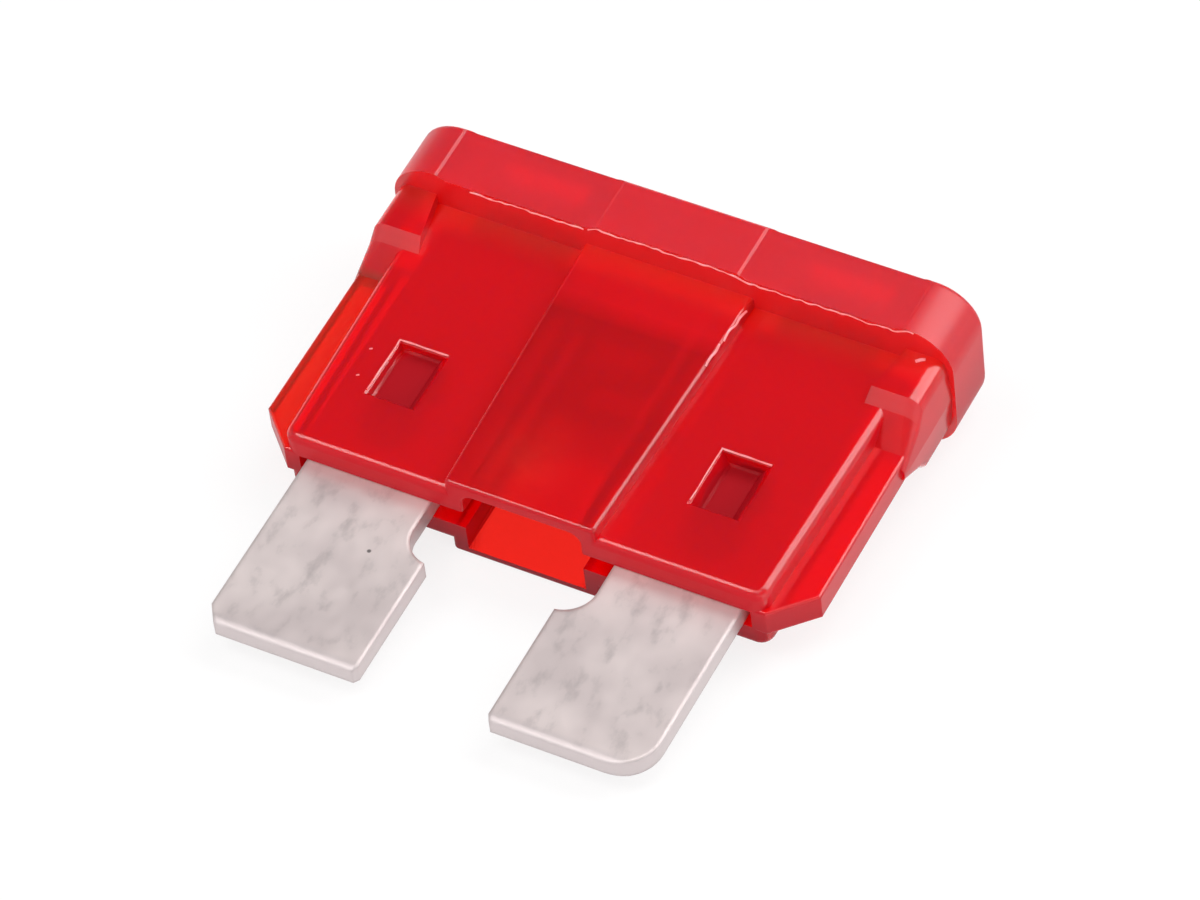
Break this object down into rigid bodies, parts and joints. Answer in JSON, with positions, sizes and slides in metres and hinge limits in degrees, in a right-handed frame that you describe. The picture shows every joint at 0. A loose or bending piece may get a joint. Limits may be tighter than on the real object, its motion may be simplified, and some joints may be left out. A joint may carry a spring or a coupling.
{
  "type": "blade fuse",
  "caption": "Regular blade fuse: a red see-through moulded housing round a stamped metal element with flat blades.",
  "frame": {"origin": "middle of the footprint, on the surface that the back of the cap lies on", "axes": "+X across both blades, +Y from the blade tips to the cap, +Z from the back face to the front face"},
  "size_m": [0.0192, 0.0188, 0.0051],
  "materials": {
    "housing_plastic": "gloss",
    "element_metal": "satin"
  },
  "bodies": {
    "root": {"housing": "housing_plastic", "fuse_element": "element_metal"}
  },
  "joints": []
}
